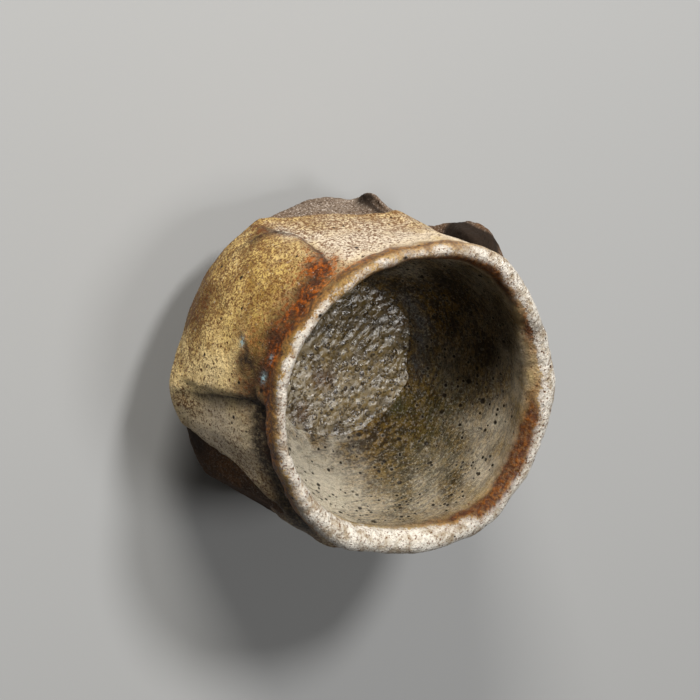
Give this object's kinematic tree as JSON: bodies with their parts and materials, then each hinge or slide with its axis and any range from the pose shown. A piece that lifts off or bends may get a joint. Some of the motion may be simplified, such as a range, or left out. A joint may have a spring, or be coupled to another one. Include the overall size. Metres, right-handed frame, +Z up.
{
  "type": "sake cup",
  "caption": "Small handmade stoneware sake cup: round mouth, broad carved facets ending in steps, slanting ash glaze over raw clay, low foot ring.",
  "frame": {"origin": "centre of the foot ring's underside, on the surface that the cup stands on", "axes": "+Z up from the foot to the mouth, -Y the front, where the ash glaze reaches lowest"},
  "size_m": [0.0667, 0.0663, 0.045],
  "materials": {
    "raw_clay": "gritty, unglazed and wood-fired",
    "foot_clay": "gritty, unglazed, worn where it stands",
    "ash_glaze": "ochre and cream ash glaze with rust speckle",
    "pale_lip_glaze": "thick pale glaze with rust pits",
    "olive_glaze": "glossy olive ash glaze with black pinholes",
    "pooled_glass": "clear glassy pool full of bubbles"
  },
  "bodies": {
    "root": {"clay_body": "raw_clay", "foot_ring": "foot_clay", "outer_glaze": "ash_glaze", "lip_glaze": "pale_lip_glaze", "inner_glaze": "olive_glaze", "glaze_pool": "pooled_glass"}
  },
  "joints": []
}
